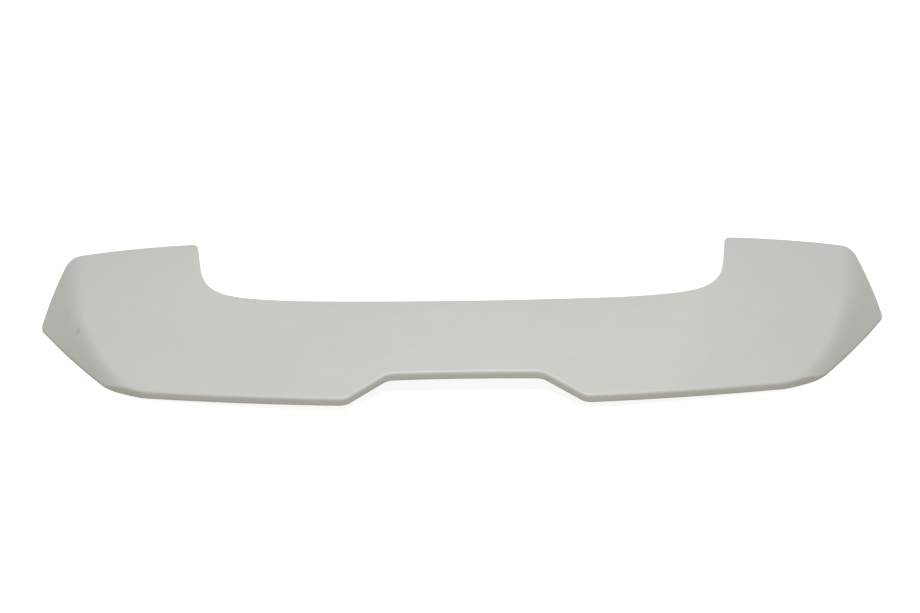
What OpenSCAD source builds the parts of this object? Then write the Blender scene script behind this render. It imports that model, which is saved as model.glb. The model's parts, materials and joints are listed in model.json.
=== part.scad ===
// Rear roof spoiler: a one-piece moulded shell with the hardware that fixes it to a tailgate.
// X runs across the car, +Y points to the front of the car and +Z is up.
// Distances "ahead" and "behind" are measured in plan from the middle of the front edge.

/* [Front edge] */
// Half of the overall width, to a side tip
half_span = 626; // [600:1:650]
// Side tip, distance ahead of the front edge's middle
tip_ahead = 54; // [40:1:70]
// Plan radius of the front edge between the horns
front_radius = 2600; // [1800:50:4000]
// Half width between the horns at the foot of their inner edges
throat_half = 378; // [360:1:386]
// Half width between the horns at their front corners
mouth_half = 395; // [388:1:405]
// Inner front corner of a horn, distance ahead
horn_inner_ahead = 139; // [125:1:150]
// Outer front corner of a horn, distance inboard of the side tip
horn_outer_inset = 36; // [26:1:50]
// Outer front corner of a horn, distance ahead
horn_outer_ahead = 142; // [125:1:155]
// Forward bow of a horn's front edge
horn_bow = 2.4; // [0:0.2:6]
// Outward bow of a horn's side edge
side_bow = 1.4; // [0:0.1:4]
// Sweep of the front edge into the horn, length along the front edge
sweep_front = 112; // [80:1:130]
// Sweep of the front edge into the horn, length along the horn's inner edge
sweep_horn = 62; // [45:1:75]
// Fullness of that sweep, 0.55 for a round arc and more for a squarer one
sweep_fullness = 0.78; // [0.55:0.01:0.85]
// Setback of the rounded inner front corner of a horn
inner_corner = 7; // [5:0.5:10]
// Setback of the rounded outer front corner of a horn
outer_corner = 11; // [8:0.5:18]

/* [Trailing edge] */
// Depth of the centre strip, from its front edge to the notch floor
strip_depth = 134; // [120:1:150]
// Half width of the notch at its floor
notch_floor_half = 109.5; // [95:0.5:120]
// Half width of the notch at its mouth
notch_mouth_half = 169; // [155:1:185]
// Depth from the front edge to the trailing arc's middle
trail_depth = 181; // [172:1:190]
// Plan radius of the trailing edge
trail_radius = 2300; // [2000:50:2800]
// Rear outer corner, distance inboard of the side tip
rear_corner_inset = 133; // [120:1:150]
// Outward bow of the edge from the rear corner to the side tip
rake_bow = 4.4; // [0:0.2:6]
// Setback of the rounded notch floor corners
floor_corner = 7; // [6:0.5:10]
// Setback of the rounded notch mouth corners
notch_corner = 8; // [7:0.5:12]
// Setback of the rounded rear outer corners
rear_corner = 45; // [30:1:55]

/* [Surface] */
// Height of the top surface above the ground at a side tip
tip_height = 5; // [4.5:0.1:6.5]
// Rise of the top surface towards the front, per millimetre
forward_slope = 0.27; // [0.255:0.005:0.28]
// Radius of the crown across the car
crown_radius = 4380; // [4200:20:4800]
// Radius of the surface from front to rear
chord_radius = 3900; // [3000:100:6000]
// Front end of the crease above the side flank, distance ahead of the horn's outer corner
crease_front_lead = 0; // [0:1:6]
// Rear end of that crease, distance ahead of the rear outer corner
crease_rear_lead = 4; // [2:1:8]
// Distance of both ends inboard of their corners
crease_inset = 7; // [5:0.5:9]
// Outward bow of the crease between its ends
crease_bow = 26.5; // [22:0.5:30]
// Half width of the soft crease at its front end
crease_blend_front = 16; // [12:1:24]
// Half width of the soft crease at its rear end
crease_blend_rear = 8; // [6:0.5:14]
// Slope of the side flank past the front end of the crease
flank_fall_front = 0.7; // [0.66:0.01:0.74]
// Slope of the side flank past the rear end of the crease
flank_fall_rear = 1.76; // [1.5:0.02:2]
// Depth to which the front edge of the centre strip is turned down
nose_drop = 2.5; // [1:0.1:4]
// Length of the turned-down nose
nose_length = 30; // [22:1:40]
// Distance from the foot of a horn at which the turned-down nose has died out
nose_stop = 48; // [30:2:70]
// Length over which it dies out
nose_fade = 110; // [80:5:140]

/* [Section] */
// Wall thickness
wall = 3; // [2.4:0.1:3.2]
// Radius of the rounded front edges
edge_radius = 1.2; // [0.8:0.1:1.6]
// Radius of the roll along the trailing edge
roll_radius = 5; // [4.5:0.5:7]
// Radius of that roll at the side tips
tip_roll_radius = 5; // [4:0.1:5.5]
// Height of the rear face, from the top surface to its lower edge
face_height = 14; // [12:0.5:15]
// Lean of the rear face, per millimetre of height
face_lean = 0.04; // [0:0.01:0.08]
// Width of the blunt end at a side tip
tip_width = 5; // [4:0.5:8]
// Depth of the stiffening ribs below the skin
rib_depth = 9; // [6:0.5:9.5]
// Thickness of a rib at its free edge
rib_thickness = 1.8; // [1.4:0.1:2.4]
// Widening of a rib towards the skin, on each side
rib_draft = 0.35; // [0.2:0.05:0.6]
// Least height of a rib's free edge above the trailing face's lower edge
rib_clear = 2; // [1:0.5:4]

/* [Fixings] */
// Half distance between the inner threaded inserts
inner_insert_half = 215; // [200:1:230]
// Inner threaded inserts, distance behind the front edge's middle
inner_insert_behind = 80; // [60:1:100]
// Outer threaded inserts, distance inboard of the side tips
outer_insert_inset = 146; // [138:1:165]
// Outer threaded inserts, distance ahead of the front edge's middle
outer_insert_ahead = 10; // [0:1:20]
// Length of the shortest boss, below the skin
boss_length = 16; // [15.5:0.5:18]
// Diameter of a boss
boss_diameter = 17; // [15:0.5:20]
// Outer diameter of a threaded insert
insert_diameter = 8; // [7:0.5:9]
// Length of a threaded insert
insert_length = 12.7; // [10:0.1:13]
// Core diameter of the insert's thread
thread_core = 5; // [4:0.1:5.5]
// Clearance between an insert and its hole, on the radius
insert_clearance = 0.05; // [0.02:0.01:0.1]
// Width of the foam mounting tape
tape_width = 12; // [8:0.5:15]
// Thickness of the foam mounting tape
tape_thickness = 1.1; // [0.8:0.1:2]
// Distance of the tape from the front edge
tape_inset = 6; // [4:0.5:10]
// Gap between the tape and the skin
tape_gap = 0.3; // [0.2:0.05:0.4]

/* [Hidden] */
probe = 0.001;
slope_step = 0.5;
round_fn = 48;

// Plane geometry
function unit(v) = v / norm(v);
function left_of(v) = [-v.y, v.x];
function mix(a, b, u) = a + (b - a) * u;
function smooth(u) = let (c = max(0, min(1, u))) c * c * (3 - 2 * c);
function bowed(a, b, bow, u) = mix(a, b, u) + 4 * bow * u * (1 - u) * unit(left_of(b - a));
function arc_edge(x0, x1, depth, radius, u) = let (x = mix(x0, x1, u)) [x, x * x / (2 * radius) - depth];

// The corners of the plan outline, before they are rounded
throat = [throat_half, throat_half * throat_half / (2 * front_radius)];
horn_inner = [mouth_half, horn_inner_ahead];
horn_outer = [half_span - horn_outer_inset, horn_outer_ahead];
tip = [half_span, tip_ahead];
notch_floor = [notch_floor_half, -strip_depth];
notch_mouth = arc_edge(0, notch_mouth_half, trail_depth, trail_radius, 1);
rear_corner_half = half_span - rear_corner_inset;
rear_outer = arc_edge(0, rear_corner_half, trail_depth, trail_radius, 1);

// The edges of the right half, each from its start at u = 0 to its end at u = 1
front_edges = [
    function (u) arc_edge(0, throat_half, 0, front_radius, u),
    function (u) bowed(throat, horn_inner, 0, u),
    function (u) bowed(horn_inner, horn_outer, horn_bow, u),
    function (u) bowed(horn_outer, tip, side_bow, u)
];
rear_edges = [
    function (u) bowed([0, -strip_depth], notch_floor, 0, u),
    function (u) bowed(notch_floor, notch_mouth, 0, u),
    function (u) arc_edge(notch_mouth_half, rear_corner_half, trail_depth, trail_radius, u),
    function (u) bowed(rear_outer, tip, -rake_bow, u)
];

// Each corner: setback before it, setback after it, fullness of its curve
round_fullness = 0.55;
front_corners = [
    [sweep_front, sweep_horn, sweep_fullness],
    [inner_corner, inner_corner, round_fullness],
    [outer_corner, outer_corner, round_fullness]
];
rear_corners = [
    [floor_corner, floor_corner, round_fullness],
    [notch_corner, notch_corner, round_fullness],
    [rear_corner, rear_corner, round_fullness]
];

// A path is a chain of pieces: whole numbers of t are the joints, even pieces are edges
// and odd pieces are the curves that round the corners between them.
function edge_length(edge) = norm(edge(1) - edge(0));
function edge_start(edges, corners, j) = j == 0 ? 0 : corners[j - 1][1] / edge_length(edges[j]);
function edge_end(edges, corners, j) =
    1 - (j == len(corners) ? tip_width / 2 : corners[j][0]) / edge_length(edges[j]);
function along(edge, u) = unit(edge(u + probe) - edge(u - probe));
function corner_curve(a, a_way, b, b_way, corner, fullness, u) =
    let (
        p = a + a_way * fullness * norm(corner - a),
        q = b - b_way * fullness * norm(corner - b),
        v = 1 - u
    )
    a * v * v * v + 3 * p * u * v * v + 3 * q * u * u * v + b * u * u * u;
function path_at(edges, corners, t) =
    let (
        piece = max(0, min(2 * len(corners), floor(t))),
        u = t - piece,
        j = floor(piece / 2),
        ends = edge_end(edges, corners, j)
    )
    piece % 2 == 0
        ? edges[j](mix(edge_start(edges, corners, j), ends, u))
        : let (starts = edge_start(edges, corners, j + 1))
            corner_curve(edges[j](ends), along(edges[j], ends), edges[j + 1](starts),
                along(edges[j + 1], starts), edges[j](1), corners[j][2], u);
function front_at(t) = path_at(front_edges, front_corners, t);
function rear_at(t) = path_at(rear_edges, rear_corners, t);
function into_part(t) = -left_of(unit(front_at(t + probe) - front_at(t - probe)));
function out_of_part(t) = -left_of(unit(rear_at(t + probe) - rear_at(t - probe)));

// The top surface: a crown that rises to the front, flanks that fold down past a soft crease,
// and a nose turned down along the front of the centre strip
crease_front = horn_outer + [-crease_inset, crease_front_lead];
crease_rear = rear_outer + [-crease_inset, crease_rear_lead];
crease_length = norm(crease_front - crease_rear);
crease_way = unit(crease_front - crease_rear);
function share_of_crease(x, y) = ([abs(x), y] - crease_rear) * crease_way / crease_length;
function past_crease(x, y) = let (u = share_of_crease(x, y))
    -([abs(x), y] - crease_rear) * left_of(crease_way) - 4 * crease_bow * u * (1 - u);
function flank_drop(x, y) =
    let (
        d = past_crease(x, y),
        to_front = smooth(share_of_crease(x, y)),
        blend = mix(crease_blend_rear, crease_blend_front, to_front),
        fall = mix(flank_fall_rear, flank_fall_front, to_front)
    )
    d < -blend ? 0 : d < blend ? fall * pow(d + blend, 2) / (4 * blend) : fall * d;
function nose(x, y) =
    let (
        back = x * x / (2 * front_radius) - y,
        near = max(0, min(1, 1 - back / nose_length))
    )
    nose_drop * near * near * smooth((throat_half - nose_stop - abs(x)) / nose_fade);
function relief(x, y) = forward_slope * y - x * x / (2 * crown_radius)
    - y * y / (2 * chord_radius) - flank_drop(x, y) - nose(x, y);
crown_height = tip_height - relief(tip.x, tip.y);
function top(x, y) = crown_height + relief(x, y);
function top_slope(x, y) = [
    (top(x + slope_step, y) - top(x - slope_step, y)) / (2 * slope_step),
    (top(x, y + slope_step) - top(x, y - slope_step)) / (2 * slope_step)
];
function upright_wall(x, y) = wall * sqrt(1 + pow(norm(top_slope(x, y)), 2));

// Where the fixings sit, seen in plan
inner_place = [inner_insert_half, -inner_insert_behind];
outer_place = [half_span - outer_insert_inset, outer_insert_ahead];

// Position on a piece of path at which it reaches the half width x
function front_reaching(piece, x) = let (a = front_at(piece).x, b = front_at(piece + 1).x)
    piece + (x - a) / (b - a);
function rear_reaching(piece, x) = let (a = rear_at(piece).x, b = rear_at(piece + 1).x)
    piece + (x - a) / (b - a);

// The rib through an outer fixing runs straight from the horn's front edge to the rear corner
outer_rib_share = 5.82;
function outer_rib_front() =
    let (
        r = rear_at(outer_rib_share),
        lean = (outer_place.x - r.x) / (outer_place.y - r.y)
    )
    front_reaching(4, outer_place.x + lean * (horn_inner_ahead - outer_place.y));

// Stations of the loft: position on the front path, position on the rear path,
// number of steps to the next station, and 1 where a rib runs below the skin
stations = [
    [0, 0, 2, 1],
    [0.2, 0.52, 3, 1],
    [0.38, 1, 3, 0],
    [0.42, 2, 3, 0],
    [0.6, 3, 3, 0],
    [0.66, 4, 2, 0],
    [front_reaching(0, inner_place.x), rear_reaching(4, inner_place.x), 3, 1],
    [1, 4.36, 10, 0],
    [2, 4.967, 3, 1],
    [3, 5.15, 3, 0],
    [4, 5.22, 3, 0],
    [outer_rib_front(), outer_rib_share, 5, 1],
    [mix(outer_rib_front(), 5, 0.58), 6.3, 4, 1],
    [5, 6.69, 4, 0],
    [6, 6.79, 7, 0],
    [7, 7, 0, 0]
];
rows = [0, 0.05, 0.15, 0.27, 0.4, 0.52, 0.64, 0.76, 0.88, 1];
rib_rows = [0.15, 0.4];
roll_steps = 4;

// Where a section crosses the crease, its sixth row lies on the crease and the others make room
crease_row = rows[5];
crease_row_limits = [0.2, 0.86];
function crease_share(a, b, low, high, tries) =
    let (m = (low + high) / 2, p = mix(a, b, m))
    tries == 0 ? m
        : past_crease(p.x, p.y) < 0 ? crease_share(a, b, m, high, tries - 1)
        : crease_share(a, b, low, m, tries - 1);
function rows_over(a, b) =
    let (
        found = crease_share(a, b, 0, 1, 10),
        s = past_crease(b.x, b.y) < 0 ? crease_row
            : max(crease_row_limits[0], min(crease_row_limits[1], found))
    )
    [for (r = rows) r < crease_row ? r * s / crease_row : 1 - (1 - r) * (1 - s) / (1 - crease_row)];

// The outer and the inner line of one section, point against point. The roll along the
// trailing edge leaves the skin tangentially, turns over and falls as the rear face to the
// lower edge, and the inner line follows it one wall further in. Round the rear corner the
// lower edge comes down to the ground, and along the rake the roll tightens to the tip.
edge_set_in = edge_radius * (1 - cos(45));
least_roll = 0.3;
least_lip = 0.6;
corner_index = 5;
rake_index = 6;
function roll_at(t) = mix(roll_radius, tip_roll_radius, smooth(t - rake_index));
function lower_edge(t, upper) = max(0, mix(upper - face_height, 0, smooth(t - corner_index)));
function under_skin(p) = max(least_lip, top(p.x, p.y) - upright_wall(p.x, p.y));
function section(tf, tr, rib) =
    let (
        f = front_at(tf),
        f1 = f + into_part(tf) * edge_set_in,
        f2 = f + into_part(tf) * edge_radius,
        z2 = top(f2.x, f2.y),
        o = rear_at(tr),
        n = out_of_part(tr),
        q = o - n * roll_at(tr),
        tilt = atan(-top_slope(q.x, q.y) * n),
        low = lower_edge(tr, top(q.x, q.y)),
        r = min(roll_at(tr), (top(q.x, q.y) - low - least_lip) / cos(tilt)),
        b = o - n * r * (1 - sin(tilt)),
        zc = top(b.x, b.y) - r * cos(tilt),
        ri = max(least_roll, r - wall),
        bi = o - n * (wall + ri * (1 - sin(tilt))),
        zi = under_skin(bi) - ri * cos(tilt),
        foot = o - n * face_lean * (zc - low),
        shares = rows_over(f2, b),
        skin = [for (s = shares) mix(f2, b, s)],
        depth = [for (s = shares) rib_depth * smooth((s - rib_rows[0]) / (rib_rows[1] - rib_rows[0]))],
        rib_floor = low + rib_clear,
        sunk = function (z, d) rib == 0 ? z : max(z - d, min(z, rib_floor)),
        turn = [for (k = [0:roll_steps]) mix(tilt, 90, k / roll_steps)],
        outer = concat(
            [[f.x, f.y, z2 - edge_radius], [f1.x, f1.y, z2 - edge_set_in]],
            [for (p = skin) [p.x, p.y, top(p.x, p.y)]],
            [for (k = [1:roll_steps])
                let (p = b + n * r * (sin(turn[k]) - sin(tilt)))
                [p.x, p.y, zc + r * cos(turn[k])]],
            [[foot.x, foot.y, low]]
        ),
        inner = concat(
            [for (p = [f, f1]) [p.x, p.y, under_skin(p)]],
            [for (k = [0:len(rows) - 2])
                [skin[k].x, skin[k].y, sunk(under_skin(skin[k]), depth[k])]],
            [for (a = turn)
                let (p = bi + n * ri * (sin(a) - sin(tilt)))
                [p.x, p.y, min(max(zi + ri * cos(a), low + least_roll), sunk(under_skin(bi), rib_depth))]],
            [[foot.x - n.x * wall, foot.y - n.y * wall, low]]
        )
    )
    concat(outer, [for (k = [len(inner) - 1:-1:0]) inner[k]]);

// Positions of the stations, with each rib given two flanks and a draft
function travel(path, t, d) = t + d / norm((path(t + probe) - path(t - probe)) / (2 * probe));
function shifted(s, d, rib) = [
    travel(function (t) front_at(t), s[0], d),
    travel(function (t) rear_at(t), s[1], d),
    rib
];
half_rib = rib_thickness / 2;
root_rib = half_rib + rib_draft;
function rib_stations(s, at_middle) = concat(
    at_middle ? [] : [shifted(s, -root_rib, 0), shifted(s, -half_rib, 1)],
    at_middle ? [[0, 0, 1]] : [],
    [shifted(s, half_rib, 1), shifted(s, root_rib, 0)]
);
half_stations = [for (i = [0:len(stations) - 1])
    let (s = stations[i], steps = s[2])
    each concat(
        s[3] == 1 ? rib_stations(s, i == 0) : [[s[0], s[1], 0]],
        steps < 2 ? [] : [for (k = [1:steps - 1])
            [mix(s[0], stations[i + 1][0], k / steps), mix(s[1], stations[i + 1][1], k / steps), 0]]
    )];

half_sections = [for (s = half_stations) section(s[0], s[1], s[2])];
span_sections = concat(
    [for (i = [len(half_sections) - 1:-1:1]) [for (p = half_sections[i]) [-p.x, p.y, p.z]]],
    half_sections
);

// The frame's middle lies halfway between the foremost and the rearmost point of the outline
foremost = max([for (s = half_sections) s[0].y]);
rearmost = min([for (s = half_sections) min([for (p = s) p.y])]);
centre_y = (foremost + rearmost) / 2;

// Closed loft over sections of equal length, whose caps join point k to its opposite
module loft(sections) {
    n = len(sections[0]);
    last = len(sections) - 1;
    walls = [for (i = [0:last - 1], k = [0:n - 1])
        let (
            a = i * n + k,
            b = i * n + (k + 1) % n,
            c = a + n,
            d = b + n
        )
        each i < last / 2 ? [[a, c, d], [a, d, b]] : [[a, c, b], [b, c, d]]];
    caps = [for (k = [0:n / 2 - 2])
        let (e = last * n)
        each [
            [k, n - 2 - k, n - 1 - k], [k, k + 1, n - 2 - k],
            [e + k, e + n - 2 - k, e + k + 1], [e + k, e + n - 1 - k, e + n - 2 - k]
        ]];
    polyhedron(points = [for (s = sections) each s], faces = concat(walls, caps), convexity = 8);
}

// The bosses end in one plane. Each stands on it and ends halfway through the skin above.
fixings = [
    [-inner_place.x, inner_place.y],
    inner_place,
    [-outer_place.x, outer_place.y],
    outer_place
];
boss_plane = min([for (p = fixings) under_skin(p)]) - boss_length;
module boss(p) {
    g = top_slope(p.x, p.y);
    reach = 2 * boss_diameter;
    intersection() {
        translate([p.x, p.y, boss_plane])
            cylinder(d = boss_diameter, h = boss_length + reach, $fn = round_fn);
        translate([p.x, p.y, top(p.x, p.y) - upright_wall(p.x, p.y) / 2])
            rotate([atan(g.y), -atan(g.x), 0])
            translate([-reach / 2, -reach / 2, -2 * reach])
            cube([reach, reach, 2 * reach]);
    }
}

// The last blind hole runs past its insert by the spare, and each one before it by a step more, so
// no two holes end in one plane
hole_spare = 1.2;
hole_step = 0.3;

// Shell of the spoiler, with its ribs, and the bosses with their blind holes
module spoiler_shell() {
    color([0.78, 0.79, 0.77])
        translate([0, -centre_y, 0])
        difference() {
            union() {
                loft(span_sections);
                for (p = fixings) boss(p);
            }
            for (i = [0:len(fixings) - 1])
                translate([fixings[i].x, fixings[i].y, boss_plane - hole_spare])
                cylinder(r = insert_diameter / 2 + insert_clearance,
                    h = insert_length + 2 * hole_spare + hole_step * (len(fixings) - 1 - i),
                    $fn = round_fn);
        }
}

// Brass insert with two knurled bands, a groove between them and a threaded core
module threaded_insert(place) {
    r = insert_diameter / 2;
    groove = 0.5;
    band = insert_length / 3;
    color([0.80, 0.66, 0.34])
        translate([place.x, place.y - centre_y, boss_plane])
        rotate_extrude($fn = round_fn)
        polygon([
            [thread_core / 2, 0],
            [r - groove, 0],
            [r, groove],
            [r, band],
            [r - groove, band],
            [r - groove, 2 * band],
            [r, 2 * band],
            [r, insert_length - groove],
            [r - groove, insert_length],
            [thread_core / 2, insert_length]
        ]);
}

// Foam tape that follows the front edge below the skin
function tape_section(t) =
    let (
        f = front_at(t),
        n = into_part(t),
        line = [for (s = [0:2]) f + n * (tape_inset + tape_width * s / 2)],
        z = function (p) top(p.x, p.y) - upright_wall(p.x, p.y) - tape_gap
    )
    concat(
        [for (p = line) [p.x, p.y, z(p)]],
        [for (k = [2:-1:0]) [line[k].x, line[k].y, z(line[k]) - tape_thickness]]
    );
module tape(sections) {
    color([0.16, 0.16, 0.17])
        translate([0, -centre_y, 0])
        loft(sections);
}
centre_tape_share = 0.93;
horn_tape_shares = [4.05, 4.85];
centre_tape_steps = 14;
horn_tape_steps = 12;
module tape_centre() {
    tape([for (k = [-centre_tape_steps:centre_tape_steps])
        let (s = tape_section(centre_tape_share * abs(k) / centre_tape_steps))
        [for (p = s) [k < 0 ? -p.x : p.x, p.y, p.z]]]);
}
module tape_right() {
    tape([for (k = [0:horn_tape_steps])
        tape_section(mix(horn_tape_shares[0], horn_tape_shares[1], k / horn_tape_steps))]);
}
module tape_left() {
    mirror([1, 0, 0]) tape_right();
}

spoiler_shell();
threaded_insert(fixings[0]);  // insert_inner_left
threaded_insert(fixings[1]);  // insert_inner_right
threaded_insert(fixings[2]);  // insert_outer_left
threaded_insert(fixings[3]);  // insert_outer_right
tape_centre();
tape_left();
tape_right();
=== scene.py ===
"""Rear roof spoiler: a thin moulded shell in light grey primer, with its brass inserts and its
foam tape, on a pale floor in soft studio light."""
import json
import math

import bmesh
import bpy
import numpy as np
from mathutils import Matrix, Vector


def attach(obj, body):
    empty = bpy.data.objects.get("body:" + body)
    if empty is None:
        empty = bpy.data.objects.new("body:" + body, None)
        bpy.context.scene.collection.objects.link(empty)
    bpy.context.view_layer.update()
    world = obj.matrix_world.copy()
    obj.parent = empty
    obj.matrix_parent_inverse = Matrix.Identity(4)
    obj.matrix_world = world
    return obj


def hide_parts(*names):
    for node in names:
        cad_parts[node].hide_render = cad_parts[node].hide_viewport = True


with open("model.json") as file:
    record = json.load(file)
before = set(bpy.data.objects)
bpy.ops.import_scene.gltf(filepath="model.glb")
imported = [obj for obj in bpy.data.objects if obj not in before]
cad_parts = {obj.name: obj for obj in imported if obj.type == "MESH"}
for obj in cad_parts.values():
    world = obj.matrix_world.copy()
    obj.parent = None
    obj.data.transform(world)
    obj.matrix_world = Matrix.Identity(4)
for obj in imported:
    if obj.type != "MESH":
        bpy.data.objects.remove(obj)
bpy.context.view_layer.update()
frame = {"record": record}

# Outline in plan, millimetres, measured from the middle of the front edge between the horns.
# The sizes are those of the solid model, so that the finished pieces lie exactly on it.
HALF_SPAN = 626.0
TIP_AHEAD = 54.0
FRONT_RADIUS = 2600.0
THROAT_HALF = 378.0
MOUTH_HALF = 395.0
HORN_INNER_AHEAD = 139.0
HORN_OUTER_INSET = 36.0
HORN_OUTER_AHEAD = 142.0
HORN_BOW = 2.4
SIDE_BOW = 1.4
SWEEP_FRONT = 112.0
SWEEP_HORN = 62.0
SWEEP_FULLNESS = 0.78
INNER_CORNER = 7.0
OUTER_CORNER = 11.0
STRIP_DEPTH = 134.0
NOTCH_FLOOR_HALF = 109.5
NOTCH_MOUTH_HALF = 169.0
TRAIL_DEPTH = 181.0
TRAIL_RADIUS = 2300.0
REAR_CORNER_INSET = 133.0
RAKE_BOW = 4.4
FLOOR_CORNER = 7.0
NOTCH_CORNER = 8.0
REAR_CORNER = 45.0
ROUND_FULLNESS = 0.55

# Top surface
TIP_HEIGHT = 5.0
FORWARD_SLOPE = 0.27
CROWN_RADIUS = 4380.0
CHORD_RADIUS = 3900.0
CREASE_FRONT_LEAD = 0.0
CREASE_REAR_LEAD = 4.0
CREASE_INSET = 7.0
CREASE_BOW = 26.5
CREASE_BLEND_FRONT = 16.0
CREASE_BLEND_REAR = 8.0
FLANK_FALL_FRONT = 0.7
FLANK_FALL_REAR = 1.76
NOSE_DROP = 2.5
NOSE_LENGTH = 30.0
NOSE_STOP = 48.0
NOSE_FADE = 110.0

# Section through the shell
WALL = 3.0
EDGE_RADIUS = 1.2
ROLL_RADIUS = 5.0
TIP_ROLL_RADIUS = 5.0
FACE_HEIGHT = 14.0
FACE_LEAN = 0.04
TIP_WIDTH = 5.0
TIP_CLOSED = 0.85
RIB_DEPTH = 9.0
RIB_THICKNESS = 1.8
RIB_DRAFT = 0.35
RIB_CLEAR = 2.0
RIB_START = 0.15
RIB_FULL = 0.4
RIM_ROUND = 0.45
RIM_SHARE = 0.4
LEAST_ROLL = 0.3
LEAST_LIP = 0.6

# Fixings
INNER_INSERT_HALF = 215.0
INNER_INSERT_BEHIND = 80.0
OUTER_INSERT_INSET = 146.0
OUTER_INSERT_AHEAD = 10.0
BOSS_LENGTH = 16.0
BOSS_DIAMETER = 17.0
INSERT_DIAMETER = 8.0
INSERT_LENGTH = 12.7
THREAD_CORE = 5.0
THREAD_MAJOR = 6.0
THREAD_PITCH = 1.0
INSERT_CLEARANCE = 0.05
HOLE_SPARE = 1.2
HOLE_STEP = 0.3
BOSS_CHAMFER = 0.5
TURNED_SIDES = 64
INSERT_GROOVE = 0.5
INSERT_SIDES = 72
KNURLS = 24
KNURL_DEPTH = 0.18
ROWS_PER_PITCH = 6
TAPE_WIDTH = 12.0
TAPE_THICKNESS = 1.1
TAPE_INSET = 6.0
TAPE_GAP = 0.3
TAPE_SOFT_SIDE = 0.08
TAPE_SOFT_DEPTH = 0.35
TAPE_ROWS = (0.0, 0.04, 0.12, 0.3, 0.5, 0.7, 0.88, 0.96, 1.0)
TAPE_CENTRE_SHARE = 0.93
TAPE_HORN_SHARES = (4.05, 4.85)
TAPE_CENTRE_STEPS = 60
TAPE_HORN_STEPS = 48

# Largest angle in degrees between faces that are shaded as one
SHELL_SMOOTH = 32
INSERT_SMOOTH = 30
TAPE_SMOOTH = 40

MM = 0.001
WELD_WIDTH = 0.004 * MM
PROBE = 0.001
SLOPE_STEP = 0.5


def unit(v):
    return v / np.linalg.norm(v)


def left_of(v):
    return np.array([-v[1], v[0]])


def mix(a, b, u):
    return a + (b - a) * u


def smooth(u):
    c = np.clip(u, 0.0, 1.0)
    return c * c * (3 - 2 * c)


def bowed(a, b, bow):
    """Edge from a to b that bows to its left."""
    side = unit(left_of(b - a))
    return lambda u: mix(a, b, u) + 4 * bow * u * (1 - u) * side


def arc_edge(x0, x1, depth, radius):
    """Shallow arc across the car, at that depth in the middle."""
    def point(u):
        x = mix(x0, x1, u)
        return np.array([x, x * x / (2 * radius) - depth])
    return point


class Path:
    """Edges joined by rounded corners. Whole numbers of t are the joints, even pieces the edges."""

    def __init__(self, edges, corners):
        self.edges = edges
        self.corners = corners
        self.pieces = 2 * len(corners)

    def length(self, j):
        return np.linalg.norm(self.edges[j](1.0) - self.edges[j](0.0))

    def start(self, j):
        return 0.0 if j == 0 else self.corners[j - 1][1] / self.length(j)

    def end(self, j):
        back = TIP_WIDTH / 2 if j == len(self.corners) else self.corners[j][0]
        return 1.0 - back / self.length(j)

    def heading(self, j, u):
        return unit(self.edges[j](u + PROBE) - self.edges[j](u - PROBE))

    def at(self, t):
        piece = int(max(0, min(self.pieces, math.floor(t))))
        u = t - piece
        j = piece // 2
        last = self.end(j)
        if piece % 2 == 0:
            return self.edges[j](mix(self.start(j), last, u))
        first = self.start(j + 1)
        a, b, corner = self.edges[j](last), self.edges[j + 1](first), self.edges[j](1.0)
        fullness = self.corners[j][2]
        p = a + self.heading(j, last) * fullness * np.linalg.norm(corner - a)
        q = b - self.heading(j + 1, first) * fullness * np.linalg.norm(corner - b)
        v = 1.0 - u
        return a * v ** 3 + 3 * p * u * v * v + 3 * q * u * u * v + b * u ** 3

    def side(self, t):
        """Unit normal to the right of the path."""
        return -left_of(unit(self.at(t + PROBE) - self.at(t - PROBE)))

    def travel(self, t, d):
        return t + d / np.linalg.norm((self.at(t + PROBE) - self.at(t - PROBE)) / (2 * PROBE))

    def reaching(self, piece, x):
        a, b = self.at(piece)[0], self.at(piece + 1)[0]
        return piece + (x - a) / (b - a)


throat = np.array([THROAT_HALF, THROAT_HALF ** 2 / (2 * FRONT_RADIUS)])
horn_inner = np.array([MOUTH_HALF, HORN_INNER_AHEAD])
horn_outer = np.array([HALF_SPAN - HORN_OUTER_INSET, HORN_OUTER_AHEAD])
tip = np.array([HALF_SPAN, TIP_AHEAD])
rear_corner_half = HALF_SPAN - REAR_CORNER_INSET
notch_floor = np.array([NOTCH_FLOOR_HALF, -STRIP_DEPTH])
trail = arc_edge(NOTCH_MOUTH_HALF, rear_corner_half, TRAIL_DEPTH, TRAIL_RADIUS)
notch_mouth, rear_outer = trail(0.0), trail(1.0)

FRONT = Path(
    [
        arc_edge(0.0, THROAT_HALF, 0.0, FRONT_RADIUS),
        bowed(throat, horn_inner, 0.0),
        bowed(horn_inner, horn_outer, HORN_BOW),
        bowed(horn_outer, tip, SIDE_BOW),
    ],
    [
        (SWEEP_FRONT, SWEEP_HORN, SWEEP_FULLNESS),
        (INNER_CORNER, INNER_CORNER, ROUND_FULLNESS),
        (OUTER_CORNER, OUTER_CORNER, ROUND_FULLNESS),
    ],
)
REAR = Path(
    [
        bowed(np.array([0.0, -STRIP_DEPTH]), notch_floor, 0.0),
        bowed(notch_floor, notch_mouth, 0.0),
        trail,
        bowed(rear_outer, tip, -RAKE_BOW),
    ],
    [
        (FLOOR_CORNER, FLOOR_CORNER, ROUND_FULLNESS),
        (NOTCH_CORNER, NOTCH_CORNER, ROUND_FULLNESS),
        (REAR_CORNER, REAR_CORNER, ROUND_FULLNESS),
    ],
)

crease_front = horn_outer + np.array([-CREASE_INSET, CREASE_FRONT_LEAD])
crease_rear = rear_outer + np.array([-CREASE_INSET, CREASE_REAR_LEAD])
crease_length = np.linalg.norm(crease_front - crease_rear)
crease_way = (crease_front - crease_rear) / crease_length
crease_out = -left_of(crease_way)


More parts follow.
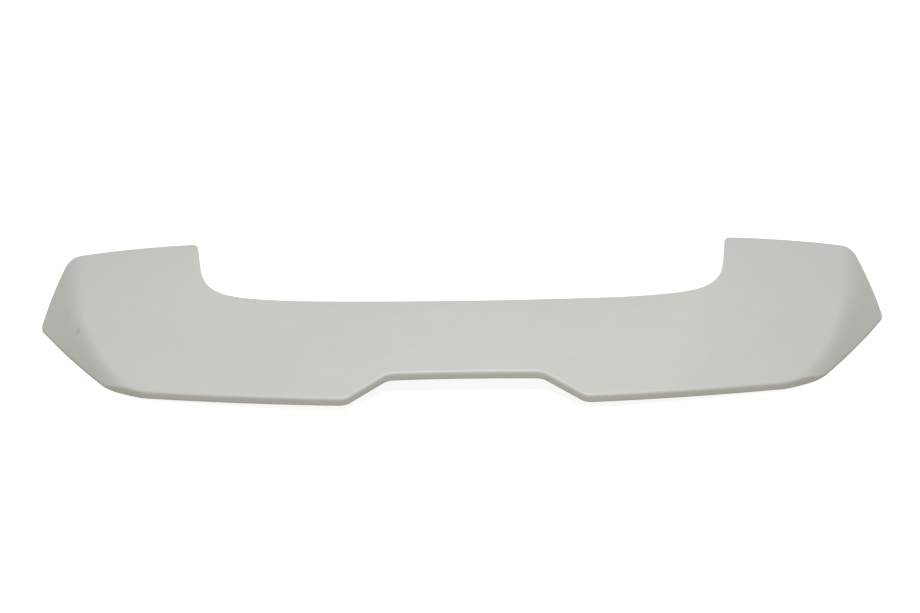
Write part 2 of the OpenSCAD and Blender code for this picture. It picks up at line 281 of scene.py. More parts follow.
def flank_drop(x, y):
    """Fall of the side flank: none inboard of the bowed crease, and steeper at its rear end."""
    across, up = np.abs(x) - crease_rear[0], y - crease_rear[1]
    u = (across * crease_way[0] + up * crease_way[1]) / crease_length
    d = across * crease_out[0] + up * crease_out[1] - 4 * CREASE_BOW * u * (1 - u)
    blend = mix(CREASE_BLEND_REAR, CREASE_BLEND_FRONT, smooth(u))
    fall = mix(FLANK_FALL_REAR, FLANK_FALL_FRONT, smooth(u))
    folded = fall * np.clip(d + blend, 0, 2 * blend) ** 2 / (4 * blend)
    return np.where(d < blend, folded, fall * d)


def relief(x, y):
    """Height of the top surface over its level at the middle of the front edge."""
    near = np.clip(1 - (x * x / (2 * FRONT_RADIUS) - y) / NOSE_LENGTH, 0, 1)
    nose = NOSE_DROP * near * near * smooth((THROAT_HALF - NOSE_STOP - np.abs(x)) / NOSE_FADE)
    crown = x * x / (2 * CROWN_RADIUS) + y * y / (2 * CHORD_RADIUS)
    return FORWARD_SLOPE * y - crown - flank_drop(x, y) - nose


crown_height = TIP_HEIGHT - float(relief(tip[0], tip[1]))


def top(x, y):
    return crown_height + relief(x, y)


def top_slope(x, y):
    h = SLOPE_STEP
    return np.array([
        (top(x + h, y) - top(x - h, y)) / (2 * h),
        (top(x, y + h) - top(x, y - h)) / (2 * h),
    ])


def upright_wall(x, y):
    gx, gy = top_slope(x, y)
    return WALL * np.sqrt(1 + gx * gx + gy * gy)


def under_skin(x, y):
    return np.maximum(LEAST_LIP, top(x, y) - upright_wall(x, y))


# Stations of the shell: position on the front path, position on the rear path, number of coarse
# steps to the next station, and whether a rib runs below the skin there
CORNER_INDEX = 5
RAKE_INDEX = 6
OUTER_RIB_SHARE = 5.82
STEP_SPLIT = 3
inner_place = (INNER_INSERT_HALF, -INNER_INSERT_BEHIND)
outer_place = (HALF_SPAN - OUTER_INSERT_INSET, OUTER_INSERT_AHEAD)


def outer_rib_front():
    r = REAR.at(OUTER_RIB_SHARE)
    lean = (outer_place[0] - r[0]) / (outer_place[1] - r[1])
    return FRONT.reaching(4, outer_place[0] + lean * (HORN_INNER_AHEAD - outer_place[1]))


rib_front = outer_rib_front()
STATIONS = [
    (0.0, 0.0, 2, True),
    (0.2, 0.52, 3, True),
    (0.38, 1.0, 3, False),
    (0.42, 2.0, 3, False),
    (0.6, 3.0, 3, False),
    (0.66, 4.0, 2, False),
    (FRONT.reaching(0, inner_place[0]), REAR.reaching(4, inner_place[0]), 3, True),
    (1.0, 4.36, 10, False),
    (2.0, 4.967, 3, True),
    (3.0, 5.15, 3, False),
    (4.0, 5.22, 3, False),
    (rib_front, OUTER_RIB_SHARE, 5, True),
    (mix(rib_front, 5.0, 0.58), 6.3, 4, True),
    (5.0, 6.69, 4, False),
    (6.0, 6.79, 7, False),
    (7.0, 7.0, 0, False),
]

# Fillet at a rib's root: distance past its side, and share of its depth. The profile across a rib
# has the distance from its middle, and the same share.
RIB_FILLET = ((0.0, 0.13), (0.35, 0.035), (1.1, 0.0))
RIB_PROFILE = [
    (0.0, 1.0),
    (RIB_THICKNESS / 2, 1.0),
] + [(RIB_THICKNESS / 2 + RIB_DRAFT + out, share) for out, share in RIB_FILLET]
LEADING_ROWS = [0.0, 0.02, 0.05, 0.1]
RIBBED_ROWS = 42
SKIN_ROWS = np.concatenate([LEADING_ROWS, np.linspace(RIB_START, 1.0, RIBBED_ROWS)])
EDGE_STEPS = 4
ROLL_STEPS = 10
FACE_ROWS = (0.35, 0.7)


def half_stations():
    """Every station of the right half, from the middle to the side tip."""
    out = []
    for i, (front, rear, steps, ribbed) in enumerate(STATIONS):
        if ribbed:
            across = [(-d, share) for d, share in reversed(RIB_PROFILE[1:])] if i else []
            for d, share in across + RIB_PROFILE:
                out.append((FRONT.travel(front, d), REAR.travel(rear, d), share))
        else:
            out.append((front, rear, 0.0))
        if steps:
            ahead = STATIONS[i + 1]
            count = steps * STEP_SPLIT
            for k in range(1, count):
                out.append((mix(front, ahead[0], k / count), mix(rear, ahead[1], k / count), 0.0))
    return out


def rim_corner(edge_end, corner, inward, height):
    """The lower rim's rounded corner: its start on the wall, its middle and its end on the rim."""
    r = min(RIM_ROUND, RIM_SHARE * height)
    up = unit(edge_end - corner)
    leave, meet = corner + up * r, corner + inward * r
    middle = corner + (up + inward) * r * (1 - math.sqrt(0.5))
    return [leave, middle, meet]


def shell_section(front, rear, rib):
    """Closed outline of the shell at one station: the outer line, then the inner line back."""
    f = FRONT.at(front)
    into = FRONT.side(front)
    f2 = f + into * EDGE_RADIUS
    z2 = float(top(*f2))
    o = REAR.at(rear)
    n = REAR.side(rear)
    roll = mix(ROLL_RADIUS, TIP_ROLL_RADIUS, smooth(rear - RAKE_INDEX))
    q = o - n * roll
    tilt = math.atan(float(-top_slope(*q) @ n))
    upper = float(top(*q))
    low = max(0.0, mix(upper - FACE_HEIGHT, 0.0, float(smooth(rear - CORNER_INDEX))))
    r = min(roll, (upper - low - LEAST_LIP) / math.cos(tilt))
    b = o - n * r * (1 - math.sin(tilt))
    zc = float(top(*b)) - r * math.cos(tilt)
    ri = max(LEAST_ROLL, r - WALL)
    bi = o - n * (WALL + ri * (1 - math.sin(tilt)))
    under_b = float(under_skin(*bi))
    zi = under_b - ri * math.cos(tilt)
    foot = o - n * FACE_LEAN * (zc - low)
    rib_floor = low + RIB_CLEAR

    def sunk(z, depth):
        return z - rib * (z - np.maximum(z - depth, np.minimum(z, rib_floor)))

    def raised(p, z):
        return np.append(p, z)

    angles = np.linspace(0, math.pi / 2, EDGE_STEPS + 1)
    edge_plan = [f + into * EDGE_RADIUS * (1 - math.cos(a)) for a in angles]
    edge = [raised(p, z2 - EDGE_RADIUS * (1 - math.sin(a))) for p, a in zip(edge_plan, angles)]
    skin_plan = f2 + np.outer(SKIN_ROWS, b - f2)
    skin_z = top(skin_plan[:, 0], skin_plan[:, 1])
    turn = np.linspace(tilt, math.pi / 2, ROLL_STEPS + 1)
    lean = math.sin(tilt)
    rolled = [raised(b + n * r * (math.sin(a) - lean), zc + r * math.cos(a)) for a in turn[1:]]
    inward = np.append(-n, 0.0)
    corner = raised(foot, low)
    rim = rim_corner(rolled[-1], corner, inward, zc - low)
    face = [mix(rolled[-1], rim[0], s) for s in FACE_ROWS]
    outer = edge + [raised(p, z) for p, z in zip(skin_plan[1:], skin_z[1:])] + rolled + face + rim

    edge_in = [raised(p, float(under_skin(*p))) for p in edge_plan]
    inner_plan = skin_plan[1:-1]
    depth = RIB_DEPTH * smooth((SKIN_ROWS[1:-1] - RIB_START) / (RIB_FULL - RIB_START))
    inner_z = sunk(under_skin(inner_plan[:, 0], inner_plan[:, 1]), depth)
    ceiling = float(sunk(under_b, RIB_DEPTH))

    def rolled_height(a):
        return min(max(zi + ri * math.cos(a), low + LEAST_ROLL), ceiling)

    rolled_in = [raised(bi + n * ri * (math.sin(a) - lean), rolled_height(a)) for a in turn]
    corner_in = corner + inward * WALL
    rim_in = rim_corner(rolled_in[-1], corner_in, -inward, rolled_in[-1][2] - low)
    face_in = [mix(rolled_in[-1], rim_in[0], s) for s in FACE_ROWS]
    skin_in = [raised(p, z) for p, z in zip(inner_plan, inner_z)]
    inner = edge_in + skin_in + rolled_in + face_in + rim_in
    return np.array(outer + inner[::-1])


def closed_tip(section):
    """The last outline, laid in one upright plane with its hollow nearly closed."""
    n = len(section) // 2
    start, foot = section[0, :2], section[n - 3, :2]
    way = unit(foot - start)
    flat = section.copy()
    flat[:, :2] = start + np.outer((section[:, :2] - start) @ way, way)
    outer, inner = flat[:n], flat[n:]
    on_ground = outer[::-1] * np.array([1.0, 1.0, 0.0])
    return np.concatenate([outer, mix(inner, on_ground, TIP_CLOSED)])


half = [shell_section(*s) for s in half_stations()]
half[-1] = closed_tip(half[-1])
MIRROR = np.array([-1.0, 1.0, 1.0])
full_span = [s * MIRROR for s in reversed(half[1:])] + half
CENTRE_Y = frame["record"]["mounts"][0]["pos_m"][1] / MM - inner_place[1]
TO_FRAME = np.array([0.0, CENTRE_Y, 0.0])
bosses = [(sx * p[0], p[1]) for p in (inner_place, outer_place) for sx in (-1, 1)]
boss_plane = min(float(under_skin(*p)) for p in bosses) - BOSS_LENGTH


def new_object(name, verts, faces, smooth_angle=None):
    """Mesh object from points in millimetres of the outline's frame."""
    mesh = bpy.data.meshes.new(name)
    mesh.from_pydata([tuple((np.array(v) + TO_FRAME) * MM) for v in verts], [], faces)
    mesh.validate()
    mesh.update()
    obj = bpy.data.objects.new(name, mesh)
    bpy.context.scene.collection.objects.link(obj)
    if smooth_angle:
        shade(obj, smooth_angle)
    return obj


def shade(obj, angle):
    obj.data.polygons.foreach_set("use_smooth", [True] * len(obj.data.polygons))
    obj.data.set_sharp_from_angle(angle=math.radians(angle))


def loft(sections):
    """Points and faces of a closed loft over outlines of equal length, capped at both ends."""
    n = len(sections[0])
    verts = np.concatenate(sections)
    faces = []
    for i in range(len(sections) - 1):
        a, b = i * n, (i + 1) * n
        faces += [(a + k, a + (k + 1) % n, b + (k + 1) % n, b + k) for k in range(n)]
    last = (len(sections) - 1) * n
    for k in range(n // 2 - 1):
        ring = (k, k + 1, n - 2 - k, n - 1 - k)
        faces.append(tuple(reversed(ring)))
        faces.append(tuple(last + v for v in ring))
    return verts, faces


def lathe(place, profile, lift=None):
    """Closed turned solid about a vertical axis, its profile running from the axis at the foot
    to the axis at the top. Where the profile gives no height, lift does."""
    count = TURNED_SIDES
    verts = [(place[0], place[1], profile[0][1])]
    for r, z in profile[1:-1]:
        for k in range(count):
            a = 2 * math.pi * k / count
            x, y = place[0] + r * math.cos(a), place[1] + r * math.sin(a)
            verts.append((x, y, lift(x, y) if z is None else z))
    z_top = profile[-1][1]
    verts.append((place[0], place[1], lift(*place) if z_top is None else z_top))
    rings = len(profile) - 2
    faces = [(0, 1 + (k + 1) % count, 1 + k) for k in range(count)]
    for i in range(rings - 1):
        a, b = 1 + i * count, 1 + (i + 1) * count
        faces += [(a + k, a + (k + 1) % count, b + (k + 1) % count, b + k) for k in range(count)]
    a, apex = 1 + (rings - 1) * count, len(verts) - 1
    faces += [(a + k, a + (k + 1) % count, apex) for k in range(count)]
    return verts, faces


def cut_or_join(obj, other, operation):
    """Exact union with, or cut by, another closed mesh, which is used up."""
    modifier = obj.modifiers.new(operation, "BOOLEAN")
    modifier.object = other
    modifier.operation = operation
    modifier.solver = "MANIFOLD"
    bpy.context.view_layer.update()
    evaluated = obj.evaluated_get(bpy.context.evaluated_depsgraph_get())
    result = bpy.data.meshes.new_from_object(evaluated)
    obj.modifiers.clear()
    old, obj.data = obj.data, result
    bpy.data.meshes.remove(old)
    bpy.data.objects.remove(other)


def weld(obj):
    """Take out the hair-thin triangles that the cuts leave."""
    mesh = bmesh.new()
    mesh.from_mesh(obj.data)
    bmesh.ops.remove_doubles(mesh, verts=mesh.verts, dist=WELD_WIDTH)
    bmesh.ops.dissolve_degenerate(mesh, edges=mesh.edges, dist=WELD_WIDTH)
    mesh.to_mesh(obj.data)
    mesh.free()


def mid_skin(x, y):
    return float(top(x, y) - upright_wall(x, y) / 2)


def build_shell():
    """The moulded shell, with its ribs, its four bosses and their blind holes."""
    shell = new_object("moulded_shell", *loft(full_span))
    r = BOSS_DIAMETER / 2
    hole = INSERT_DIAMETER / 2 + INSERT_CLEARANCE
    for p in bosses:
        foot = [(0, boss_plane), (r - BOSS_CHAMFER, boss_plane), (r, boss_plane + BOSS_CHAMFER)]
        boss = new_object("boss", *lathe(p, foot + [(r, None), (0, None)], lift=mid_skin))
        cut_or_join(shell, boss, "UNION")
    for i, p in enumerate(bosses):
        low = boss_plane - HOLE_SPARE
        high = boss_plane + INSERT_LENGTH + HOLE_SPARE + HOLE_STEP * (len(bosses) - 1 - i)
        drill = new_object("drill", *lathe(p, [(0, low), (hole, low), (hole, high), (0, high)]))
        cut_or_join(shell, drill, "DIFFERENCE")
    weld(shell)
    shade(shell, SHELL_SMOOTH)
    return shell


def triangle_wave(u):
    return 1 - abs(2 * (u - math.floor(u)) - 1)


def build_insert(name, place):
    """Brass insert: two knurled bands with a groove between them, and a threaded core."""
    r, groove, band = INSERT_DIAMETER / 2, INSERT_GROOVE, INSERT_LENGTH / 3
    outside = [
        (r - groove, 0),
        (r, groove),
        (r, band),
        (r - groove, band),
        (r - groove, 2 * band),
        (r, 2 * band),
        (r, INSERT_LENGTH - groove),
        (r - groove, INSERT_LENGTH),
    ]
    rows = int(INSERT_LENGTH / THREAD_PITCH * ROWS_PER_PITCH)
    heights = [INSERT_LENGTH * (1 - k / rows) for k in range(rows + 1)]
    thread = (THREAD_MAJOR - THREAD_CORE) / 2
    count = INSERT_SIDES
    verts = []

    def add_ring(z, radius_at):
        for k in range(count):
            a, radius = 2 * math.pi * k / count, radius_at(k / count)
            x, y = place[0] + radius * math.cos(a), place[1] + radius * math.sin(a)
            verts.append((x, y, z + boss_plane))

    for radius, z in outside:
        depth = KNURL_DEPTH if radius == r else 0.0
        add_ring(z, lambda u: radius - depth * triangle_wave(KNURLS * u))
    for z in heights:
        depth = thread * min(1.0, z / THREAD_PITCH, (INSERT_LENGTH - z) / THREAD_PITCH)
        add_ring(z, lambda u: THREAD_CORE / 2 + depth * triangle_wave(z / THREAD_PITCH - u))
    rings = len(outside) + len(heights)
    faces = []
    for i in range(rings):
        a, b = i * count, ((i + 1) % rings) * count
        faces += [(a + k, a + (k + 1) % count, b + (k + 1) % count, b + k) for k in range(count)]
    return new_object(name, verts, faces, INSERT_SMOOTH)


def tape_section(t):
    """Foam strip below the skin at one station of the front edge, with softly rounded sides."""
    f, into = FRONT.at(t), FRONT.side(t)
    upper, lower = [], []
    for s in TAPE_ROWS:
        near_side = max(0.0, abs(2 * s - 1) - (1 - TAPE_SOFT_SIDE)) / TAPE_SOFT_SIDE
        inset = TAPE_SOFT_DEPTH * TAPE_THICKNESS * (1 - math.sqrt(max(0.0, 1 - near_side)))
        p = f + into * (TAPE_INSET + TAPE_WIDTH * s)
        z = float(top(*p) - upright_wall(*p)) - TAPE_GAP
        upper.append(np.append(p, z - inset))
        lower.append(np.append(p, z - TAPE_THICKNESS + inset))
    return np.array(upper + lower[::-1])


def build_tapes():
    """The three foam strips, by the node that each one replaces."""
    n, m = TAPE_CENTRE_STEPS, TAPE_HORN_STEPS
    middle = [tape_section(TAPE_CENTRE_SHARE * k / n) for k in range(n + 1)]
    middle = [s * MIRROR for s in reversed(middle[1:])] + middle
    right = [tape_section(mix(*TAPE_HORN_SHARES, k / m)) for k in range(m + 1)]
    left = [s * MIRROR for s in reversed(right)]
    return {
        "tape_centre": new_object("foam_strip_centre", *loft(middle), TAPE_SMOOTH),
        "tape_left": new_object("foam_strip_left", *loft(left), TAPE_SMOOTH),
        "tape_right": new_object("foam_strip_right", *loft(right), TAPE_SMOOTH),
    }


# Finishes: colours, texture scales per metre, and the ranges that a texture drives
PRIMER_LIGHT = (0.585, 0.585, 0.555, 1.0)
PRIMER_DARK = (0.545, 0.545, 0.515, 1.0)
PRIMER_ROUGHNESS = (0.36, 0.46)
UNDERCOAT = (0.42, 0.42, 0.405, 1.0)
UNDERCOAT_SHARE = (0.45, 0.95)
UNDERCOAT_ROUGHER = 0.2
UNDERSIDE_NORMAL = (-0.25, -0.6)
MARK_GREY = (0.30, 0.30, 0.285, 1.0)
MARK_PLACE = (-0.562, 0.011)
MARK_RADIUS = 0.0062
MARK_STRENGTH = 0.36
MARK_CORE = 0.35
BRASS_LIGHT = (0.74, 0.55, 0.24, 1.0)
BRASS_DARK = (0.46, 0.31, 0.11, 1.0)
BRASS_ROUGHNESS = (0.24, 0.42)
FOAM_LIGHT = (0.036, 0.036, 0.038, 1.0)
FOAM_DARK = (0.013, 0.013, 0.014, 1.0)
FOAM_ROUGHNESS = (0.78, 0.95)
WHITE = (1.0, 1.0, 1.0, 1.0)
PAPER_LIGHT = (0.49, 0.44, 0.35, 1.0)
PAPER_DARK = (0.47, 0.42, 0.33, 1.0)
PAPER_ROUGHNESS = 0.85
PAPER_SCALE = 3.0
CLOUD_SCALE = 5.0
BLOTCH_SCALE = 45.0
GRAIN_SCALE = 900.0
PEEL_SCALE = 260.0
TOOTH_SCALE = 1800.0
NIB_SCALE = 70.0
NIB_SIZE = 0.07
PORE_SCALE = 1600.0


def node_group(name, inputs, outputs):
    """Empty shader group with named float, colour or vector sockets, and its group nodes."""
    tree = bpy.data.node_groups.new(name, "ShaderNodeTree")
    kinds = {"float": "NodeSocketFloat", "color": "NodeSocketColor", "vector": "NodeSocketVector"}
    for socket, (kind, default) in inputs.items():
        item = tree.interface.new_socket(socket, in_out="INPUT", socket_type=kinds[kind])
        if default is not None:
            item.default_value = default
    for socket, kind in outputs.items():
        tree.interface.new_socket(socket, in_out="OUTPUT", socket_type=kinds[kind])
    return tree, tree.nodes.new("NodeGroupInput"), tree.nodes.new("NodeGroupOutput")


def link(tree, source, target):
    tree.links.new(source, target)


def math_node(tree, operation, a, b=None, c=None):
    """Math node whose inputs are sockets or numbers; returns its output."""
    node = tree.nodes.new("ShaderNodeMath")
    node.operation = operation
    for socket, value in zip(node.inputs, (a, b, c)):
        if value is None:
            continue
        if isinstance(value, (int, float)):
            socket.default_value = value
        else:
            link(tree, value, socket)
    return node.outputs[0]


def noise(tree, vector, scale, detail=2.0, roughness=0.5):
    node = tree.nodes.new("ShaderNodeTexNoise")
    node.inputs["Scale"].default_value = scale
    node.inputs["Detail"].default_value = detail
    node.inputs["Roughness"].default_value = roughness
    link(tree, vector, node.inputs["Vector"])
    return node.outputs["Fac"]


def remap(tree, value, low, high, to_low=0.0, to_high=1.0):
    """Value taken from one range to another, and held at its ends."""
    node = tree.nodes.new("ShaderNodeMapRange")
    ends = {"From Min": low, "From Max": high, "To Min": to_low, "To Max": to_high}
    for socket, number in ends.items():
        node.inputs[socket].default_value = number
    link(tree, value, node.inputs["Value"])
    return node.outputs["Result"]


def blend_colour(tree, factor, a, b):
    """Mix of two colours; each is a socket or an RGBA tuple."""
    node = tree.nodes.new("ShaderNodeMix")
    node.data_type = "RGBA"
    colours = [s for s in node.inputs if s.type == "RGBA"]
    for socket, value in zip(colours, (a, b)):
        if isinstance(value, tuple):
            socket.default_value = value
        else:
            link(tree, value, socket)
    link(tree, factor, node.inputs[0])
    return next(s for s in node.outputs if s.type == "RGBA")


def spray_mottle_group():
    """Uneven spray coat: soft clouds, finer blotches and grain about a middle value."""
    tree, inp, out = node_group(
        "spray_mottle",
        {
            "Position": ("vector", None),
            "Clouds": ("float", 0.5),
            "Blotches": ("float", 0.3),
            "Grain": ("float", 0.2),
        },
        {"Shade": "float", "Patchiness": "float"},
    )
    place = inp.outputs["Position"]
    clouds = noise(tree, place, CLOUD_SCALE, 3.0)
    blotches = noise(tree, place, BLOTCH_SCALE, 2.0, 0.6)
    grain = noise(tree, place, GRAIN_SCALE, 1.0)
    total = 0.5
    for layer, share in ((clouds, "Clouds"), (blotches, "Blotches"), (grain, "Grain")):
        centred = math_node(tree, "SUBTRACT", layer, 0.5)
        total = math_node(tree, "MULTIPLY_ADD", centred, inp.outputs[share], total)
    link(tree, total, out.inputs["Shade"])
    link(tree, blotches, out.inputs["Patchiness"])
    return tree


def spray_skin_group():
    """Height of a sprayed surface: the soft waves of orange peel, with dust nibs and fine tooth."""
    tree, inp, out = node_group(
        "spray_skin",
        {
            "Position": ("vector", None),
            "Peel": ("float", 1.0),
            "Tooth": ("float", 0.3),
            "Nibs": ("float", 0.2),
        },
        {"Height": "float"},
    )
    place = inp.outputs["Position"]
    waves = noise(tree, place, PEEL_SCALE, 2.0, 0.45)
    grit = noise(tree, place, TOOTH_SCALE, 2.0, 0.6)
    nib = tree.nodes.new("ShaderNodeTexVoronoi")
    nib.inputs["Scale"].default_value = NIB_SCALE
    link(tree, place, nib.inputs["Vector"])
    spot = remap(tree, nib.outputs["Distance"], 0.0, NIB_SIZE, 1.0, 0.0)
    height = 0.0
    for layer, share in ((waves, "Peel"), (grit, "Tooth"), (spot, "Nibs")):
        height = math_node(tree, "MULTIPLY_ADD", layer, inp.outputs[share], height)
    link(tree, height, out.inputs["Height"])
    return tree


def fleck_group():
    """Soft round mark about one point of the surface."""
    tree, inp, out = node_group(
        "fleck",
        {"Position": ("vector", None), "Centre": ("vector", None), "Radius": ("float", 0.002)},
        {"Mark": "float"},
    )
    apart = tree.nodes.new("ShaderNodeVectorMath")
    apart.operation = "DISTANCE"
    link(tree, inp.outputs["Position"], apart.inputs[0])
    link(tree, inp.outputs["Centre"], apart.inputs[1])
    ratio = math_node(tree, "DIVIDE", apart.outputs["Value"], inp.outputs["Radius"])
    link(tree, remap(tree, ratio, MARK_CORE, 1.0, 1.0, 0.0), out.inputs["Mark"])
    return tree


def use_group(tree, group, **values):
    """Group node in a tree, with sockets linked or set; underscores in names stand for spaces."""
    node = tree.nodes.new("ShaderNodeGroup")
    node.node_tree = group
    for name, value in values.items():
        socket = node.inputs[name.replace("_", " ")]
        if isinstance(value, bpy.types.NodeSocket):
            link(tree, value, socket)
        else:
            socket.default_value = value
    return node


def new_material(name):
    """Material with a Principled BSDF; returns it, its tree, the shader and the position socket."""
    material = bpy.data.materials.new(name)
    material.use_nodes = True
    tree = material.node_tree
    shader = tree.nodes["Principled BSDF"]
    place = tree.nodes.new("ShaderNodeTexCoord").outputs["Object"]
    return material, tree, shader, place


def add_bump(tree, shader, height, strength, distance):
    """Let a height in the texture tilt the shader's normal."""
    bump = tree.nodes.new("ShaderNodeBump")
    bump.inputs["Strength"].default_value = strength
    bump.inputs["Distance"].default_value = distance
    link(tree, height, bump.inputs["Height"])
    link(tree, bump.outputs["Normal"], shader.inputs["Normal"])


spray_mottle = spray_mottle_group()
spray_skin = spray_skin_group()
fleck = fleck_group()


def primer_grey():
    """Light grey primer, satin, a little uneven; thinner and rougher on the hidden side."""
    material, tree, shader, place = new_material("primer_grey")
    mottle = use_group(tree, spray_mottle, Position=place, Clouds=0.9, Blotches=0.35, Grain=0.25)
    shade_of, patchiness = mottle.outputs["Shade"], mottle.outputs["Patchiness"]
    coat = blend_colour(tree, remap(tree, shade_of, 0.2, 0.8), PRIMER_DARK, PRIMER_LIGHT)
    x, y = MARK_PLACE
    z = float(top(x / MM, y / MM - CENTRE_Y)) * MM
    mark = use_group(tree, fleck, Position=place, Centre=(x, y, z), Radius=MARK_RADIUS)
    faint = math_node(tree, "MULTIPLY", mark.outputs["Mark"], MARK_STRENGTH)
    coat = blend_colour(tree, faint, coat, MARK_GREY)
    facing = tree.nodes.new("ShaderNodeNewGeometry")
    up = tree.nodes.new("ShaderNodeSeparateXYZ")
    link(tree, facing.outputs["True Normal"], up.inputs[0])
    below = remap(tree, up.outputs["Z"], *UNDERSIDE_NORMAL)
    thin = remap(tree, patchiness, 0.3, 0.7, *UNDERCOAT_SHARE)
    patchy = math_node(tree, "MULTIPLY", below, thin)
    link(tree, blend_colour(tree, patchy, coat, UNDERCOAT), shader.inputs["Base Color"])
    rough = remap(tree, patchiness, 0.25, 0.75, *PRIMER_ROUGHNESS)
    rough = math_node(tree, "MULTIPLY_ADD", below, UNDERCOAT_ROUGHER, rough)
    link(tree, rough, shader.inputs["Roughness"])
    skin = use_group(tree, spray_skin, Position=place, Peel=1.0, Tooth=0.25, Nibs=0.3)
    add_bump(tree, shader, skin.outputs["Height"], 0.35, 0.00012)
    return material


def insert_brass():
    """Machined brass, slightly dulled."""
    material, tree, shader, place = new_material("insert_brass")
    mottle = use_group(tree, spray_mottle, Position=place, Clouds=0.2, Blotches=0.8, Grain=0.5)
    shade_of, patchiness = mottle.outputs["Shade"], mottle.outputs["Patchiness"]
    tone = blend_colour(tree, remap(tree, shade_of, 0.2, 0.8), BRASS_DARK, BRASS_LIGHT)
    link(tree, tone, shader.inputs["Base Color"])
    shader.inputs["Metallic"].default_value = 1.0
    link(tree, remap(tree, patchiness, 0.2, 0.8, *BRASS_ROUGHNESS), shader.inputs["Roughness"])
    skin = use_group(tree, spray_skin, Position=place, Peel=0.3, Tooth=0.8, Nibs=0.0)
    add_bump(tree, shader, skin.outputs["Height"], 0.2, 0.00005)
    return material


def foam_black():
    """Dense closed-cell foam with fine open pores at its cut faces."""
    material, tree, shader, place = new_material("foam_black")
    mottle = use_group(tree, spray_mottle, Position=place, Clouds=0.3, Blotches=0.8, Grain=0.8)
    shade_of, patchiness = mottle.outputs["Shade"], mottle.outputs["Patchiness"]
    tone = blend_colour(tree, remap(tree, shade_of, 0.1, 0.9), FOAM_DARK, FOAM_LIGHT)
    link(tree, tone, shader.inputs["Base Color"])
    link(tree, remap(tree, patchiness, 0.2, 0.8, *FOAM_ROUGHNESS), shader.inputs["Roughness"])
    pores = tree.nodes.new("ShaderNodeTexVoronoi")
    pores.inputs["Scale"].default_value = PORE_SCALE
    link(tree, place, pores.inputs["Vector"])
    add_bump(tree, shader, pores.outputs["Distance"], 0.6, 0.0003)
    return material


def paint(obj, material):
    """Give a piece its finish and its material slot, and let it ride on the part's one body."""
    obj.data.materials.clear()
    obj.data.materials.append(material)
    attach(obj, "root")


def build_part():
    """Every piece of the part, each in the place of its plain node."""
    primer, brass, foam = primer_grey(), insert_brass(), foam_black()
    shell = build_shell()
    paint(shell, primer)
    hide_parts("spoiler_shell")
    names = ["insert_inner_left", "insert_inner_right", "insert_outer_left", "insert_outer_right"]
    for node, place in zip(names, bosses):
        insert = build_insert("threaded_" + node, place)
        paint(insert, brass)
        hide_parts(node)
    for node, strip in build_tapes().items():
        paint(strip, foam)
        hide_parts(node)


# Floor, lamps and camera, in metres
FLOOR_HALF = 30.0
FLOOR_LIFT = 0.87
WORLD_LEVEL = 0.3
LAMP_PLACE = (0.0, -0.9, 2.3)
LAMP_TARGET = (0.0, 0.0, 0.0)
LAMP_SIZE = (1.3, 0.8)
LAMP_POWER = 44.0


def seen_directly(tree):
    """1 where a surface is seen by the camera, in a reflection or through glass, 0 elsewhere."""
    seen = tree.nodes.new("ShaderNodeLightPath").outputs
    mirrored = math_node(tree, "MAXIMUM", seen["Is Glossy Ray"], seen["Is Transmission Ray"])
    return math_node(tree, "MAXIMUM", seen["Is Camera Ray"], mirrored)


def floor_material():
    """Pale paper: seen directly it is lifted to white, and it still takes the part's shadow."""
    material, tree, shader, place = new_material("paper_floor")
    shader.inputs["Roughness"].default_value = PAPER_ROUGHNESS
    tone = blend_colour(tree, noise(tree, place, PAPER_SCALE), PAPER_DARK, PAPER_LIGHT)
    link(tree, tone, shader.inputs["Base Color"])
    shader.inputs["Emission Color"].default_value = WHITE
    lift = math_node(tree, "MULTIPLY", seen_directly(tree), FLOOR_LIFT)
    link(tree, lift, shader.inputs["Emission Strength"])
    return material


def build_floor():
    """Large paper floor that the part rests on."""
    h = FLOOR_HALF
    mesh = bpy.data.meshes.new("floor")
    mesh.from_pydata([(-h, -h, 0), (h, -h, 0), (h, h, 0), (-h, h, 0)], [], [(0, 1, 2, 3)])
    floor = bpy.data.objects.new("floor", mesh)
    mesh.materials.append(floor_material())
    bpy.context.scene.collection.objects.link(floor)


def softbox(name, place, target, size, power):
    """Rectangular area lamp that faces a point."""
    lamp = bpy.data.lights.new(name, "AREA")
    lamp.shape = "RECTANGLE"
    lamp.size, lamp.size_y = size
    lamp.energy = power
    obj = bpy.data.objects.new(name, lamp)
    obj.location = place
    obj.rotation_euler = (Vector(target) - Vector(place)).to_track_quat("-Z", "Y").to_euler()
    bpy.context.scene.collection.objects.link(obj)


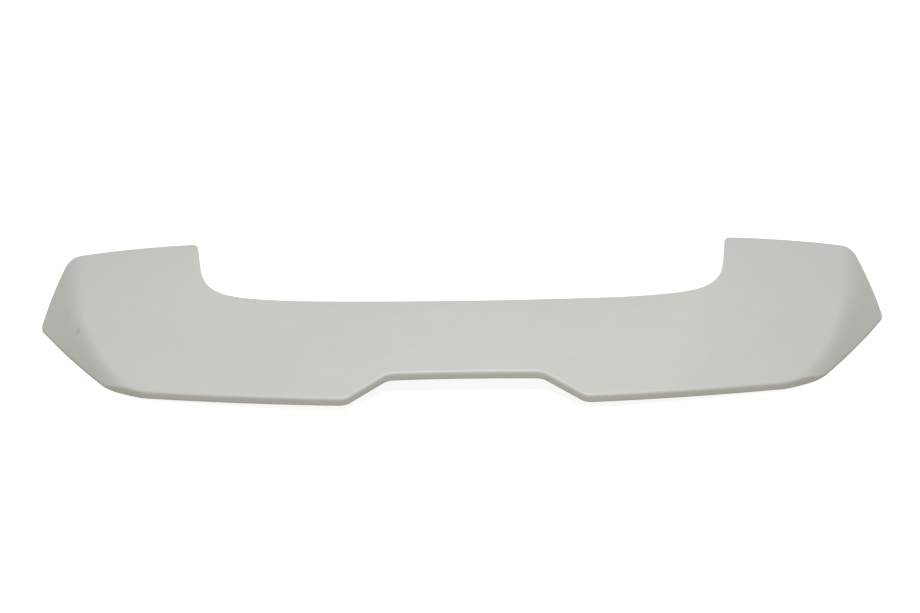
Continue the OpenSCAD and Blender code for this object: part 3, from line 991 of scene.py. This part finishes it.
def build_world():
    """White where it is seen or mirrored, and a soft even light on everything else."""
    world = bpy.data.worlds.new("studio")
    bpy.context.scene.world = world
    world.use_nodes = True
    tree = world.node_tree
    background = tree.nodes["Background"]
    background.inputs["Color"].default_value = WHITE
    level = math_node(tree, "MULTIPLY_ADD", seen_directly(tree), 1.0 - WORLD_LEVEL, WORLD_LEVEL)
    link(tree, level, background.inputs["Strength"])


def build_lights():
    softbox("overhead", LAMP_PLACE, LAMP_TARGET, LAMP_SIZE, LAMP_POWER)


# The camera's place follows from a fit of the whole outline to the picture
IMAGE_WIDTH, IMAGE_HEIGHT = 920, 613
SENSOR = 36.0
FOCAL_PIXELS = 2350.6
CAMERA_AZIMUTH = -0.785
CAMERA_ELEVATION = 32.1
CAMERA_ROLL = -0.404
CAMERA_DISTANCE = 3.434
CAMERA_TARGET = Vector((0.0, 0.01553, 0.04))
CAMERA_REACH = 200.0
TARGET_PIXEL = (463.4, 321.7)


def build_camera():
    """Camera that looks along the fitted line of sight, with the target on its pixel."""
    a, e, roll = (math.radians(v) for v in (CAMERA_AZIMUTH, CAMERA_ELEVATION, CAMERA_ROLL))
    back = Vector((math.sin(a) * math.cos(e), -math.cos(a) * math.cos(e), math.sin(e)))
    level = Vector((math.cos(a), math.sin(a), 0.0))
    upright = back.cross(level)
    right = level * math.cos(roll) + upright * math.sin(roll)
    up = -level * math.sin(roll) + upright * math.cos(roll)
    camera = bpy.data.cameras.new("camera")
    camera.sensor_width = SENSOR
    camera.lens = SENSOR * FOCAL_PIXELS / IMAGE_WIDTH
    camera.shift_x = (IMAGE_WIDTH / 2 - TARGET_PIXEL[0]) / IMAGE_WIDTH
    camera.shift_y = (TARGET_PIXEL[1] - IMAGE_HEIGHT / 2) / IMAGE_WIDTH
    camera.clip_end = CAMERA_REACH
    obj = bpy.data.objects.new("camera", camera)
    obj.matrix_world = Matrix((right, up, back)).transposed().to_4x4()
    obj.location = CAMERA_TARGET + back * CAMERA_DISTANCE
    bpy.context.scene.collection.objects.link(obj)
    bpy.context.scene.camera = obj


build_part()
build_floor()
build_world()
build_lights()
build_camera()
bpy.context.scene.view_settings.view_transform = "Standard"
